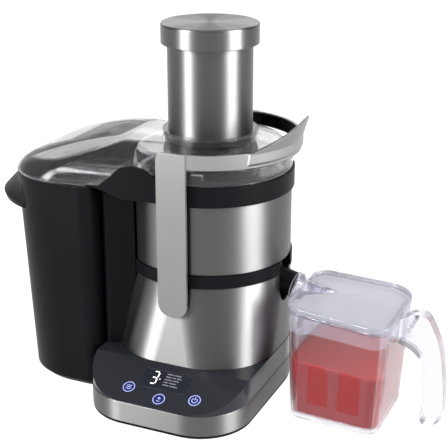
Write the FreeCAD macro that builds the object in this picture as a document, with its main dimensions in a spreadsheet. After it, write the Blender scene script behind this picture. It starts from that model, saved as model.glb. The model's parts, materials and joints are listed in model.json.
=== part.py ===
import FreeCAD, Part
import math
import os
import re
import Sketcher
from FreeCAD import Placement, Rotation, Vector

# Centrifugal juicer. Millimetres, +Z up, floor at Z = 0, rotor axis on X = Y = 0.
# +X is the juice spout and jug, -X the pulp container, -Y the control panel.

SIZES = {
    # base, control deck and steel skirt
    "base_half": 90.5, "base_front": 156, "base_corner": 57, "base_low": 1.5,
    "floor_top": 4, "trim_top": 27, "deck_top": 52,
    "skirt_half": 89.5, "skirt_front": 102.6, "skirt_corner": 70,
    "skirt_top": 136.7, "skirt_radius": 88.5,
    "steel": 1.2, "wall": 2.5, "gap": 0.4,
    # collector section
    "seam_radius": 90, "seam_low": 137.2, "seam_top": 151.2,
    "band_radius": 88.2, "band_low": 151.8, "band_top": 226.3,
    "bowl_radius": 86.8, "rim_radius": 91, "rim_low": 226.8, "rim_top": 248,
    "side_half": 69, "column_inner": 90.6, "column_outer": 93.3, "column_half": 82,
    # juice spout
    "slot_half": 14.5, "slot_low": 102, "spout_x": 70, "spout_z": 129.7,
    "spout_outer": 13.8, "spout_inner": 11, "spout_length": 29.6, "spout_slope": 15,
    # rotor
    "shaft": 4, "bearing_bore": 4.05, "disc_low": 177.2, "disc_radius": 51,
    "basket_radius": 76, "basket_top": 236,
    # lid and feed chute
    "lid_radius": 89, "lid_low": 248.5, "shoulder_low": 264, "plateau": 275,
    "plateau_radius": 77, "lid_wall": 2.4,
    "chute_bore": 41.2, "chute_outer": 43.8, "chute_low": 193, "chute_top": 378,
    "sleeve_radius": 45.2, "sleeve_low": 283,
    "pusher_radius": 40.4, "pusher_low": 196, "cap_radius": 51.7, "cap_low": 378.8,
    "total_height": 400,
    # locking arm
    "pivot_z": 120, "arm_inner": 94.4, "arm_outer": 97.8,
    "strap_low": 268.5, "strap_top": 284, "leg_half": 16.5, "leg_foot": 105.5,
    "tab_reach": 106.2, "tab_top": 306,
    # pulp container
    "pulp_left": 211, "pulp_half": 103, "pulp_corner": 68, "pulp_right": 94.6,
    "pulp_top": 236, "pulp_taper": 7, "pulp_inner_corner": 14, "lip_reach": 249,
    # jug: left, right and the four corners' depths at the rim and at the foot
    "jug_top": 118, "jug_wall": 2.4, "rim_left": 110, "rim_right": 226,
    "rim_front_left": -60, "rim_front_right": -81, "rim_back_right": 40, "rim_back_left": 50,
    "foot_left": 120.5, "foot_right": 219.5,
    "foot_front_left": -70, "foot_front_right": -76.5, "foot_back_right": 28, "foot_back_left": 30,
    "handle_y": -24, "handle_half": 9,
    "mouth_radius": 15, "inlet_outer": 11.2, "inlet_inner": 9.6, "inlet_length": 34,
    "inlet_x": 99.4, "inlet_z": 121.8,
}

doc = FreeCAD.newDocument("Juicer")
sheet = doc.addObject("Spreadsheet::Sheet", "Sheet")
for row, (alias, size) in enumerate(SIZES.items(), 1):
    sheet.set(f"A{row}", alias)
    sheet.set(f"B{row}", str(size))
    sheet.setAlias(f"B{row}", alias)
doc.recompute()
PARTS = []


def bound(text):
    """The expression with every size name looked up in the sheet."""
    return re.sub(r"[a-z_]+", lambda word: f"Sheet.{word[0]}" if word[0] in SIZES else word[0], str(text))


def value(text):
    return float(sheet.evalExpression(bound(text)))


def new_body(label):
    body = doc.addObject("PartDesign::Body", label)
    body.Label = label
    body.AllowCompound = True
    return body


def keep(item, label):
    """Make an object one of the juicer's sub-parts."""
    item.Label = label
    PARTS.append(item)
    return item


def new_sketch(body, plane, offset):
    sketch = body.newObject("Sketcher::SketchObject", "Sketch")
    origin = next(item for item in body.Origin.OriginFeatures if item.Role == plane + "_Plane")
    sketch.AttachmentSupport = [(origin, "")]
    sketch.MapMode = "FlatFace"
    sketch.setExpression("AttachmentOffset.Base.z", bound(offset))
    return sketch


def fix_point(sketch, edge, end, x, y):
    """Tie one end of an edge to its two coordinates."""
    for kind, text in (("DistanceX", x), ("DistanceY", y)):
        index = sketch.addConstraint(Sketcher.Constraint(kind, -1, 1, edge, end, value(text)))
        sketch.setExpression(f"Constraints[{index}]", bound(text))


def add_loop(sketch, points):
    """Closed anticlockwise loop. A third item is the radius of the arc to the next point:
    positive bulges out of the loop, negative into it."""
    first, count = sketch.GeometryCount, len(points)
    spots = [Vector(value(point[0]), value(point[1]), 0) for point in points]
    ends = []
    for index, point in enumerate(points):
        start, stop = spots[index], spots[(index + 1) % count]
        if len(point) == 2:
            sketch.addGeometry(Part.LineSegment(start, stop))
            ends.append((1, 2))
            continue
        radius = value(point[2])
        chord = stop - start
        side = Vector(-chord.y, chord.x, 0).normalize() * (1 if radius > 0 else -1)
        rise = max(radius ** 2 - (chord.Length / 2) ** 2, 0) ** 0.5
        centre = (start + stop) * 0.5 + side * rise
        circle = Part.Circle(centre, Vector(0, 0, 1), abs(radius))
        turn = (start, stop) if radius > 0 else (stop, start)
        sketch.addGeometry(Part.ArcOfCircle(circle, circle.parameter(turn[0]), circle.parameter(turn[1])))
        ends.append((1, 2) if radius > 0 else (2, 1))
    for index, point in enumerate(points):
        after = (index + 1) % count
        sketch.addConstraint(Sketcher.Constraint("Coincident", first + index, ends[index][1],
                                                 first + after, ends[after][0]))
    for index, point in enumerate(points):
        fix_point(sketch, first + index, ends[index][0], point[0], point[1])
        if len(point) == 3:
            text = point[2] if value(point[2]) > 0 else f"-({point[2]})"
            constraint = Sketcher.Constraint("Radius", first + index, value(text))
            number = sketch.addConstraint(constraint)
            sketch.setExpression(f"Constraints[{number}]", bound(text))


def add_circles(sketch, centres, radius):
    for x, y in centres:
        edge = sketch.addGeometry(Part.Circle(Vector(value(x), value(y), 0), Vector(0, 0, 1), value(radius)))
        number = sketch.addConstraint(Sketcher.Constraint("Radius", edge, value(radius)))
        sketch.setExpression(f"Constraints[{number}]", bound(radius))
        fix_point(sketch, edge, 3, x, y)


def slab(body, low, high, loops=(), circles=None, plane="XY", cut=False):
    """Pad, or cut, the loops between two heights along the plane's world axis."""
    along = -1 if plane == "XZ" else 1
    level = low if (along > 0) != cut else high
    sketch = new_sketch(body, plane, f"{along}*({level})")
    for points in loops:
        add_loop(sketch, points)
    if circles:
        add_circles(sketch, *circles)
    feature = body.newObject("PartDesign::Pocket" if cut else "PartDesign::Pad", "Cut" if cut else "Pad")
    feature.Profile = sketch
    feature.setExpression("Length", bound(f"({high}) - ({low})"))
    return feature


def turn(body, points, cut=False):
    """Revolve a loop of (radius, height) points about the body's Z axis."""
    sketch = new_sketch(body, "XZ", "0")
    add_loop(sketch, points)
    feature = body.newObject("PartDesign::Groove" if cut else "PartDesign::Revolution",
                             "Groove" if cut else "Revolution")
    feature.Profile = sketch
    feature.ReferenceAxis = (sketch, ["V_Axis"])
    feature.Angle = 360
    return feature


def loft(body, sections, cut=False, ruled=False, plane="XY"):
    """Skin through loops given as (height, points)."""
    sketches = []
    for height, points in sections:
        sketches.append(new_sketch(body, plane, height))
        add_loop(sketches[-1], points)
    feature = body.newObject("PartDesign::SubtractiveLoft" if cut else "PartDesign::AdditiveLoft", "Loft")
    feature.Profile = sketches[0]
    feature.Sections = sketches[1:]
    feature.Ruled = ruled
    return feature


def polar(body, feature, count):
    """Repeat a feature evenly about the body's Z axis."""
    axis = next(item for item in body.Origin.OriginFeatures if item.Role == "Z_Axis")
    pattern = body.newObject("PartDesign::PolarPattern", "Pattern")
    pattern.Originals = [feature]
    pattern.Axis = (axis, [""])
    pattern.Angle = 360
    pattern.Occurrences = count
    body.Tip = pattern
    return pattern


def combine(kind, base, tool):
    """Part boolean of two objects: Cut, Fuse or Common."""
    item = doc.addObject(f"Part::{kind}", kind)
    if kind == "Cut":
        item.Base, item.Tool = base, tool
    else:
        item.Base, item.Tool = base, tool
        item.Refine = True
    return item


def rod(radius, length, base, rotation=Rotation()):
    """Cylinder from a base point along its turned Z axis."""
    item = doc.addObject("Part::Cylinder", "Rod")
    item.setExpression("Radius", bound(radius))
    item.setExpression("Height", bound(length))
    item.Placement = Placement(base, rotation)
    return item


def ball(radius, centre):
    item = doc.addObject("Part::Sphere", "Ball")
    item.setExpression("Radius", bound(radius))
    item.Placement = Placement(centre, Rotation())
    return item


def box_loop(x_low, y_low, x_high, y_high):
    return [(x_low, y_low), (x_high, y_low), (x_high, y_high), (x_low, y_high)]


def ring_loop(inner, outer, low, high):
    """Rectangle of (radius, height) points for a turned ring."""
    return box_loop(inner, low, outer, high)


def d_shape(half, front, corner, inset=0):
    """Plan of the base: a half circle behind, straight sides, a rounded flat front."""
    wide, deep, bend = f"({half}-{inset})", f"({front}-{inset})", f"({corner}-{inset})"
    return [(wide, "0", wide), ("0", wide, wide), (f"-{wide}", "0"),
            (f"-{wide}", f"-({deep}-{bend})", bend), (f"-({wide}-{bend})", f"-{deep}"),
            (f"{wide}-{bend}", f"-{deep}", bend), (wide, f"-({deep}-{bend})")]


def base_plan(inset=0):
    return d_shape("base_half", "base_front", "base_corner", inset)


def rounded(corners, radii, inset):
    """Loop of a polygon moved inwards by inset, each corner an arc between its tangent points."""
    loop = []
    for index, (x, y) in enumerate(corners):
        corner = Vector(x, y, 0)
        before = (Vector(*corners[index - 1], 0) - corner).normalize()
        after = (Vector(*corners[(index + 1) % len(corners)], 0) - corner).normalize()
        half = before.getAngle(after) / 2
        bend = radii[index] - inset
        tip = corner + (before + after).normalize() * (inset / math.sin(half))
        start, stop = tip + before * (bend / math.tan(half)), tip + after * (bend / math.tan(half))
        loop += [(start.x, start.y, bend), (stop.x, stop.y)]
    return loop


def soft_box(left, right, half, left_corner, right_corner):
    """Rectangle in plan with rounded corners, symmetrical about the X axis."""
    return [(f"{left}+{left_corner}", f"-({half})"),
            (f"{right}-{right_corner}", f"-({half})", right_corner),
            (right, f"-({half}-{right_corner})"), (right, f"{half}-{right_corner}", right_corner),
            (f"{right}-{right_corner}", half), (f"{left}+{left_corner}", half, left_corner),
            (left, f"{half}-{left_corner}"), (left, f"-({half}-{left_corner})", left_corner)]


# ---- base -------------------------------------------------------------------------------

def make_bottom_shell():
    body = new_body("bottom_shell")
    slab(body, "base_low", "floor_top", [base_plan("gap")])
    slab(body, "floor_top", "trim_top - 2", [base_plan("(steel + 0.2)")])
    slab(body, "floor_top", "trim_top", [base_plan("(steel + wall)")], cut=True)
    slots = [box_loop(-24, 9 * step - 2, 24, 9 * step + 2) for step in (-4, -3, -2, 2, 3, 4)]
    slab(body, 0, "floor_top", slots, cut=True)
    slab(body, "floor_top", 19, circles=([(-62, -92), (62, -92), (-56, 52), (56, 52)], 5))
    keep(body, "bottom_shell")


def make_feet():
    """Four corner feet and a middle pad under the motor."""
    body = new_body("rubber_feet")
    slab(body, 0, "base_low", circles=([(-60, -112), (60, -112), (-56, 48), (56, 48), (0, 0)], 9))
    keep(body, "rubber_feet")


def make_trim():
    body = new_body("base_trim")
    slab(body, "floor_top + 0.2", "trim_top", [base_plan()])
    slab(body, "floor_top", "trim_top + 1", [base_plan("steel")], cut=True)
    keep(body, "base_trim")


def deck_form(label, inset, low, drop):
    """Deck block: the base's plan under a plane that rises from the front edge to the skirt."""
    body = new_body(label)
    slab(body, low, f"deck_top - {drop}", [base_plan(inset)])
    slope = [("-(base_front + 5)", f"trim_top - {drop} - 5*(deck_top-trim_top)/(base_front-skirt_front)"),
             ("-skirt_front", f"deck_top - {drop}"), ("-skirt_front", "deck_top + 20"),
             ("-(base_front + 5)", "deck_top + 20")]
    slab(body, "-100", "100", [slope], plane="YZ", cut=True)
    return body


def on_slope(body):
    """Lay a flat body on the deck: its X runs across, its Y up the slope from the front edge."""
    rise = value("deck_top - trim_top")
    run = value("base_front - skirt_front")
    tilt = Rotation(Vector(0, run, rise), Vector(0, 1, 0)).inverted()
    body.Placement = Placement(Vector(0, -value("base_front"), value("trim_top")), tilt)
    return body


KEYS = {"speed_key": (-32.7, 20.6), "adjust_key": (5.6, 13.6), "power_key": (43.5, 21.3)}
WINDOW = (-24, 25, 30, 49)


def make_deck():
    shell = combine("Cut", deck_form("deck_outer", 0.5, "trim_top + 0.2", 0),
                    deck_form("deck_inner", 3, "trim_top", 2.6))
    opening = new_body("deck_opening")
    slab(opening, "trim_top", "deck_top + 5", [d_shape("skirt_half", "skirt_front", "skirt_corner", 9)])
    slab(opening, 80, 100, circles=([(0, 40)], 8.1), plane="XZ")
    shell = combine("Cut", shell, opening)
    recess = new_body("deck_recess")
    slab(recess, -0.9, 4, [box_loop(*WINDOW)])
    slab(recess, -0.9, 4, circles=(list(KEYS.values()), 7.2))
    keep(combine("Cut", shell, on_slope(recess)), "control_deck")


def make_panel():
    window = new_body("display_window")
    x_low, y_low, x_high, y_high = WINDOW
    slab(window, -0.9, 0, [box_loop(x_low + 0.15, y_low + 0.15, x_high - 0.15, y_high - 0.15)])
    keep(on_slope(window), "display_window")
    for label, spot in KEYS.items():
        key = new_body(label)
        slab(key, -0.9, 0, circles=([spot], 7.05))
        keep(on_slope(key), label)
    board = new_body("touch_board")
    slab(board, -9.6, -8, [box_loop(-46, 11, 54, 44)])
    slab(board, -8, -3.6, [box_loop(-22, 28, 28, 42)])
    slab(board, -8, -3.6, circles=(list(KEYS.values()), 5))
    keep(on_slope(board), "touch_board")


def make_skirt():
    body = new_body("motor_skirt")
    foot, top = "deck_top + 0.2", "skirt_top"

    def plans(inset):
        return [(foot, d_shape("skirt_half", "skirt_front", "skirt_corner", inset)),
                (top, d_shape("skirt_radius", "skirt_radius", "(skirt_radius - 0.5)", inset))]
    loft(body, plans(0), ruled=True)
    loft(body, plans(1.5), cut=True, ruled=True)
    slot = [("slot_half", 150), ("-slot_half", 150), ("-slot_half", "slot_low + slot_half", "slot_half"),
            ("0", "slot_low", "slot_half"), ("slot_half", "slot_low + slot_half")]
    slab(body, 50, 130, [slot], plane="YZ", cut=True)
    near, far, deep = -57.2, -85.3, 82.4
    slab(body, 40, 150, [[(-130, -deep), (far, -deep), (near, "-(side_half + 0.7)"),
                          (near, "side_half + 0.7"), (far, deep), (-130, deep)]], cut=True)
    slab(body, -120, 120, circles=([(0, "pivot_z")], 4.3), plane="XZ", cut=True)
    keep(body, "motor_skirt")


def make_spout_recess():
    """Dark trough behind the slot in the skirt, so that no juice reaches the motor."""
    body = new_body("spout_recess")
    for grow, low, high, cut in ((2, 53.6, 84.6, False), (0, 55.6, 90, True)):
        wide, low_z = f"(slot_half + {grow})", f"(slot_low - {grow})"
        loop = [(wide, "skirt_top"), (f"-{wide}", "skirt_top"), (f"-{wide}", f"{low_z} + {wide}", wide),
                ("0", low_z, wide), (wide, f"{low_z} + {wide}")]
        slab(body, low, high, [loop], plane="YZ", cut=cut)
    keep(body, "spout_recess")


def make_side_column():
    """Black side of the housing that the pulp container stands against."""
    body = new_body("side_column")
    end_x, end_y = "sqrt(column_inner^2 - (side_half+1)^2)", "(side_half + 1)"
    loop = [(f"-{end_x}", end_y), ("-(column_outer - 8)", "column_half", 8.5),
            ("-column_outer", "column_half - 8"),
            ("-column_outer", "-(column_half - 8)", 8.5), ("-(column_outer - 8)", "-column_half"),
            (f"-{end_x}", f"-{end_y}", "-column_inner")]
    slab(body, "deck_top + 0.2", "band_top", [loop])
    pockets = []
    for side in (1, -1):
        corners = [(-67, 67 * side), (-86, 77 * side), (-90.6, 73 * side), (-90.6, 34 * side)]
        pockets.append(corners if side > 0 else corners[::-1])
    slab(body, "deck_top", "band_top - wall", pockets, cut=True)
    keep(body, "side_column")


def make_motor_deck():
    """Floor between motor and bowl, whose rim is the black seam round the housing."""
    body = new_body("motor_deck")
    turn(body, [(9.6, 141), (83.5, 141), (83.5, "seam_low"), ("seam_radius", "seam_low"),
                ("seam_radius", "seam_top"), (85.5, "seam_top"), (85.5, 144.6), (24, 144.6),
                (24, 147.4), (9.6, 147.4)])
    slab(body, 130, 160, [box_loop(53, "-(slot_half + 1)", 95, "slot_half + 1")], cut=True)
    slab(body, 130, 160, [box_loop(-95, -16, -87, 16)], cut=True)
    keep(body, "motor_deck")


def make_back_fittings():
    inlet = new_body("cord_inlet")
    slab(inlet, 84, 97, circles=([(0, 40)], 8), plane="XZ")
    slab(inlet, 92, 97, circles=([(0, 40)], 10.5), plane="XZ")
    slab(inlet, 80, 100, circles=([(0, 40)], 3.6), plane="XZ", cut=True)
    keep(inlet, "cord_inlet")
    bosses = new_body("pivot_bosses")
    slab(bosses, -86, -70, [box_loop(-10, "pivot_z - 10", 10, "pivot_z + 10")], plane="XZ")
    slab(bosses, 70, 84, [box_loop(-10, "pivot_z - 10", 10, "pivot_z + 10")], plane="XZ")
    slab(bosses, -90, 90, circles=([(0, "pivot_z")], "shaft"), plane="XZ", cut=True)
    keep(bosses, "pivot_bosses")
    pins = new_body("arm_pins")
    slab(pins, -96.2, -66, circles=([(0, "pivot_z")], "shaft"), plane="XZ")
    slab(pins, 66, 96.2, circles=([(0, "pivot_z")], "shaft"), plane="XZ")
    keep(pins, "arm_pins")
    switch = new_body("safety_switch")
    slab(switch, -82, -74, [box_loop(14, 110, 34, 124)], plane="XZ")
    slab(switch, -80, -76, [box_loop(17, 124, 21, 127)], plane="XZ")
    keep(switch, "safety_switch")


def make_screws():
    body = new_body("case_screws")
    spots = [(-62, -92), (62, -92), (-56, 52), (56, 52)]
    slab(body, "base_low + 0.3", "floor_top", circles=(spots, 3.2))
    slab(body, "floor_top", 15, circles=(spots, 1.6))
    shell = PARTS[0]
    slab(shell, 0, "floor_top", circles=(spots, 3.4), cut=True)
    slab(shell, "floor_top", 15, circles=(spots, 1.6), cut=True)
    keep(body, "case_screws")


def make_power_board():
    body = new_body("power_board")
    slab(body, 9, 10.6, [box_loop(-48, -142, 40, -96)])
    blocks = [box_loop(-40, -136, -24, -116), box_loop(-14, -132, 6, -106), box_loop(16, -134, 32, -122)]
    slab(body, 10.6, 20, blocks)
    slab(body, 10.6, 24, circles=([(22, -108), (-34, -106)], 6))
    slab(body, "floor_top", 9, circles=([(-44, -138), (36, -138), (-44, -100), (36, -100)], 3))
    keep(body, "power_board")


# ---- motor ------------------------------------------------------------------------------

PILLARS = [(33, 33), (-33, 33), (-33, -33), (33, -33)]


def make_motor_frame():
    for label, low, high, hub_low, hub_high in (("lower_bracket", 14, 18, 14, 24),
                                                ("upper_bracket", 112, 116, 106, 116)):
        body = new_body(label)
        slab(body, low, high, circles=([(0, 0)], 52))
        slab(body, hub_low, hub_high, circles=([(0, 0)], 13))
        slab(body, 0, 120, circles=([(0, 0)], 9), cut=True)
        slab(body, 0, 120, circles=(PILLARS, 3), cut=True)
        window = slab(body, 0, 120, [box_loop(18, -11, 40, 11)], cut=True)
        polar(body, window, 4)
        keep(body, label)
    for label, low, high in (("lower_bearing", 14, 24), ("upper_bearing", 106, 116)):
        body = new_body(label)
        turn(body, ring_loop("bearing_bore", 9, low, high))
        keep(body, label)
    pillars = new_body("motor_pillars")
    slab(pillars, 10.6, 119, circles=(PILLARS, 3))
    slab(pillars, 116, 119, circles=(PILLARS, 5))
    keep(pillars, "motor_pillars")
    mounts = new_body("motor_mounts")
    slab(mounts, "floor_top", 14, circles=(PILLARS, 9))
    slab(mounts, 10.4, 14, circles=(PILLARS, 3.05), cut=True)
    keep(mounts, "motor_mounts")


def make_stator():
    core = new_body("stator_core")
    slab(core, 62, 96, circles=([(0, 0)], 45))
    slab(core, 60, 98, circles=([(0, 0)], 25.2), cut=True)
    slab(core, 60, 98, circles=(PILLARS, 3), cut=True)
    slab(core, 60, 98, [box_loop(-12, 25, 12, 34), box_loop(-12, -34, 12, -25)], cut=True)
    keep(core, "stator_core")
    coils = new_body("field_coils")
    for low, high in ((54, 62), (96, 103)):
        turn(coils, ring_loop(27, 39, low, high))
    slab(coils, 50, 110, [box_loop(-50, -9, 50, 9)], cut=True)
    keep(coils, "field_coils")
    holders = new_body("brush_holders")
    slab(holders, 45, 53.4, [box_loop(14, -5, 40, 5), box_loop(-40, -5, -14, 5)])
    slab(holders, 47, 51.4, [box_loop(10, -3, 36, 3), box_loop(-36, -3, -10, 3)], cut=True)
    keep(holders, "brush_holders")
    brushes = new_body("carbon_brushes")
    slab(brushes, 47.1, 51.3, [box_loop(12.4, -2.9, 30, 2.9), box_loop(-30, -2.9, -12.4, 2.9)])
    keep(brushes, "carbon_brushes")


def make_rotor():
    shaft = new_body("motor_shaft")
    slab(shaft, 12.5, 160, circles=([(0, 0)], "shaft"))
    keep(shaft, "motor_shaft")
    core = new_body("armature_core")
    turn(core, ring_loop("shaft", 24.6, 62, 96))
    slot = slab(core, 60, 98, [box_loop(16, -1.6, 23, 1.6)], cut=True)
    polar(core, slot, 12)
    keep(core, "armature_core")
    winding = new_body("armature_winding")
    turn(winding, ring_loop("shaft", 22, 56.6, 62))
    turn(winding, ring_loop("shaft", 21, 96, 102))
    keep(winding, "armature_winding")
    commutator = new_body("commutator")
    turn(commutator, ring_loop("shaft", 12, 44.5, 55.5))
    groove = slab(commutator, 44, 56, [box_loop(10.6, -0.4, 13, 0.4)], cut=True)
    polar(commutator, groove, 12)
    keep(commutator, "commutator")
    fan = new_body("cooling_fan")
    turn(fan, ring_loop("shaft", 9, 28, 40))
    turn(fan, ring_loop(8, 40, 28, 29.6))
    blade = slab(fan, 29, 40, [[(8, -1), (38, 5), (38, 6.6), (8, 1)]])
    polar(fan, blade, 10)
    keep(fan, "cooling_fan")
    coupling = new_body("drive_coupling")
    turn(coupling, ring_loop("shaft", 10, 150, 162))
    turn(coupling, ring_loop(0, 10, 160, 164))
    tooth = slab(coupling, 152, 162, [[(8, -2.4), (12.6, -1.4), (12.6, 1.4), (8, 2.4)]])
    polar(coupling, tooth, 6)
    keep(coupling, "drive_coupling")
    seal = new_body("shaft_seal")
    turn(seal, [(4.8, 141.4), (9.6, 141.4), (9.6, 147.4), (12, 147.4), (12, 148.8), (4.8, 148.8)])
    keep(seal, "shaft_seal")


def make_basket():
    hub = new_body("basket_hub")
    turn(hub, [(12.8, 152), (16.5, 152), (16.5, 173.6), (48, 173.6), (48, "disc_low"), (0, "disc_low"),
               (0, 166), (12.8, 166)])
    keep(hub, "basket_hub")
    disc = new_body("grater_disc")
    slab(disc, "disc_low", "disc_low + 1", circles=([(0, 0)], "disc_radius"))
    for start in range(8, 44, 6):
        tooth = slab(disc, "disc_low + 1", "disc_low + 2.4",
                     [[(start, -0.9), (start + 3.6, -0.3), (start + 3.6, 0.9), (start, 0.3)]])
        polar(disc, tooth, 14)
    keep(disc, "grater_disc")
    mesh = new_body("mesh_basket")
    low, high = "disc_low", "basket_top"
    turn(mesh, [("disc_radius", low), ("disc_radius + 1", low), ("basket_radius + 1", high),
                ("basket_radius", high)])
    keep(mesh, "mesh_basket")
    rim = new_body("basket_rim")
    turn(rim, [("basket_radius", high), ("basket_radius + 1", high), ("basket_radius + 1", 231),
               ("basket_radius + 4", 231), ("basket_radius + 4", 241), ("basket_radius - 1", 241),
               ("basket_radius - 1", 239)])
    keep(rim, "basket_rim")


# ---- collector --------------------------------------------------------------------------

def make_collector():
    bowl = new_body("collector_bowl")
    turn(bowl, [(19.5, "band_low"), ("bowl_radius", "band_low"), ("bowl_radius", 238),
                ("bowl_radius - wall", 238), ("bowl_radius - wall", 155.4), (22, 154.2), (22, 171.5),
                (19.5, 171.5)])
    slab(bowl, 140, 160, circles=([("spout_x", 0)], "spout_inner"), cut=True)
    keep(bowl, "collector_bowl")
    sleeve = new_body("collector_sleeve")
    turn(sleeve, ring_loop("bowl_radius + 0.2", "band_radius", "band_low", "band_top"))
    slab(sleeve, 140, 240, [box_loop(-100, "-side_half", -20, "side_half")], cut=True)
    keep(sleeve, "collector_sleeve")


CHEEK = {"near_x": 12, "near_y": 90.4, "far_x": 143, "far_y": 103}


def cheek_y(x):
    """Half-width of the collector's top and of the lid at a place left of the axis."""
    share = (x - CHEEK["near_x"]) / (CHEEK["far_x"] - CHEEK["near_x"])
    return CHEEK["near_y"] + share * (CHEEK["far_y"] - CHEEK["near_y"])


HUMP = [(-12, 247.9), (-22, 254), (-34, 261.5), (-47, 264.5), (-60, 261), (-72, 249.5), (-84, 239.5)]
CHEEK_END, CHEEK_THICK = 98.5, 3.4


def cheek_form(label, room=0):
    """The two cheeks with their humped tops, or with room the space the lid leaves for them."""
    body = new_body(label)
    near, far = 14 - room, CHEEK_END + room
    thick = CHEEK_THICK + room
    for side in (-1, 1):
        corners = [(-near, side * (cheek_y(near) + room)), (-far, side * (cheek_y(far) + room)),
                   (-far, side * (cheek_y(far) - thick)), (-near, side * (cheek_y(near) - thick))]
        slab(body, "rim_low", 268, [corners if side < 0 else corners[::-1]])
    hump = [(x, height + room) for x, height in HUMP[::-1]]
    above = [(-5, 247.9 + room), (-5, 280), (-110, 280), (-110, 239.4 + room)] + hump
    slab(body, -120, 120, [above[::-1]], plane="XZ", cut=True)
    return body


def make_rim():
    """Black top ring with the two raised cheeks that guide the pulp to the left."""
    body = cheek_form("collector_rim")
    below = [(-110, 200), (-60, 200), (-60, "rim_low + 0.8"), (-88, 236.8), (-110, 236.8)]
    slab(body, -110, 110, [below], plane="XZ", cut=True)
    turn(body, ring_loop("bowl_radius + 0.2", "rim_radius", "rim_low", "rim_top"))
    slab(body, 239.3, 270, [box_loop(-120, -60, -55, 60)], cut=True)
    lip_x, lip_y = CHEEK_END, cheek_y(CHEEK_END) - 1
    slab(body, 236.9, 239.3, [[(-lip_x, -lip_y), (-40, -cheek_y(40) + 1), (-40, cheek_y(40) - 1),
                               (-lip_x, lip_y)]])
    slab(body, 230, 245, circles=([(0, 0)], "bowl_radius + 0.2"), cut=True)
    keep(body, "collector_rim")


def make_spout():
    """Short stub under the bowl that turns into the sloping nozzle."""
    elbow = Vector(value("spout_x"), 0, value("spout_z"))
    slope = Rotation(Vector(0, 1, 0), 90 + value("spout_slope"))
    forms = []
    for radius, extra in (("spout_outer", 0), ("spout_inner", 5)):
        stub = rod(radius, f"band_low - 0.1 - spout_z + {extra}", elbow)
        nozzle = rod(radius, f"spout_length + {extra}", elbow, slope)
        forms.append(combine("Fuse", combine("Fuse", stub, nozzle), ball(radius, elbow)))
    keep(combine("Cut", *forms), "juice_spout")


# ---- lid, chute and pusher --------------------------------------------------------------

# Sections of the lid's long dome: height, inset of the sides, left end, corner radius.
DOME = [(237.6, 0, 211, 67), (246, 1, 204, 66), (253, 5, 192, 62), (260, 13, 172, 54),
        (266, 26, 150, 42), (270, 38, 132, 32), (273.5, 50, 112, 22), (276, 62, 88, 12)]


def dome_plan(inset, left, corner, wall):
    near = cheek_y(14) - inset - wall
    far = CHEEK["far_y"] - inset - wall
    bend = corner - wall * 0.6
    end = left - wall
    return [(-(end - bend), -far), (-14, -near), (-14, near), (-(end - bend), far, bend),
            (-end, far - bend), (-end, -(far - bend), bend)]


def lid_form(label, wall):
    """Round plateau over the basket joined to the dome over the pulp container."""
    body = new_body(label)
    loft(body, [(height - wall, dome_plan(inset, left, corner, wall))
                for height, inset, left, corner in DOME])
    edge, low, top = f"(lid_radius - {wall})", f"lid_low - {wall}", f"(plateau - {wall})"
    turn(body, [("0", low), (edge, low), (edge, f"shoulder_low - {wall * 0.4}"),
                (f"lid_radius - 7 - {wall * 0.6}", f"shoulder_low + 7 - {wall * 0.6}"),
                (f"plateau_radius - {wall * 0.6}", top), ("0", top)])
    return body


def make_lid():
    outer = lid_form("lid_outer", 0)
    slab(outer, 251, 262, [[(12, -92.4), (30, -89), (30, -80), (12, -80)]])
    shell = combine("Cut", outer, lid_form("lid_inner", 2.4))
    trimmer = new_body("lid_trimmer")
    slab(trimmer, 200, "lid_low", [box_loop(-70, -120, 120, 120)])
    slab(trimmer, 200, 239.9, [box_loop(-CHEEK_END - 0.6, -120, -60, 120)])
    slab(trimmer, "plateau", 280, circles=([(0, 0)], 52.5))
    shell = combine("Cut", combine("Cut", shell, trimmer), cheek_form("cheek_room", 0.5))
    keep(combine("Cut", shell, rod("chute_outer + 0.05", 120, Vector(0, 0, 190))), "lid")
    chute = new_body("feed_chute")
    turn(chute, [("chute_bore", "chute_low"), ("chute_outer", "chute_low"), ("chute_outer", 275.1),
                 (48.5, 275.1), (51.7, 287.5), (50, 287.5), (46.6, 277.5), ("chute_outer", 277.5),
                 ("chute_outer", "chute_top"), ("chute_bore", "chute_top")])
    keep(chute, "feed_chute")
    sleeve = new_body("chute_sleeve")
    turn(sleeve, ring_loop("chute_outer + 0.2", "sleeve_radius", "sleeve_low", "chute_top + 0.5"))
    keep(sleeve, "chute_sleeve")
    gasket = new_body("lid_gasket")
    turn(gasket, ring_loop(82.2, 86.6, 249, 252))
    slab(gasket, 240, 260, [box_loop(-100, -70, 0, 70)], cut=True)
    keep(gasket, "lid_gasket")


def make_pusher():
    body = new_body("pusher_body")
    turn(body, [("0", "pusher_low"), ("pusher_radius - 2", "pusher_low"),
                ("pusher_radius", "pusher_low + 2"), ("pusher_radius", "cap_low"),
                ("cap_radius - 1.4", "cap_low"), ("cap_radius - 1.4", "cap_low + 14"),
                ("cap_radius - 3.4", "cap_low + 14"), ("cap_radius - 3.4", "cap_low + 2"),
                ("pusher_radius - 2.2", "cap_low + 2"), ("pusher_radius - 2.2", "pusher_low + 2.5"),
                ("0", "pusher_low + 2.5")])
    rib = slab(body, 215, "cap_low - 4", [box_loop(40, -2.5, 40.9, 2.5)])
    polar(body, rib, 3)
    keep(body, "pusher_body")
    cap = new_body("pusher_cap")
    turn(cap, [("cap_radius - 1.2", "cap_low"), ("cap_radius", "cap_low"),
               ("cap_radius", "total_height - 2.2", 2.2), ("cap_radius - 2.2", "total_height"),
               ("0", "total_height"), ("0", "total_height - 1.4"),
               ("cap_radius - 2.4", "total_height - 1.4"), ("cap_radius - 1.2", "total_height - 2.6")])
    keep(cap, "pusher_cap")


# ---- locking arm ------------------------------------------------------------------------

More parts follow.
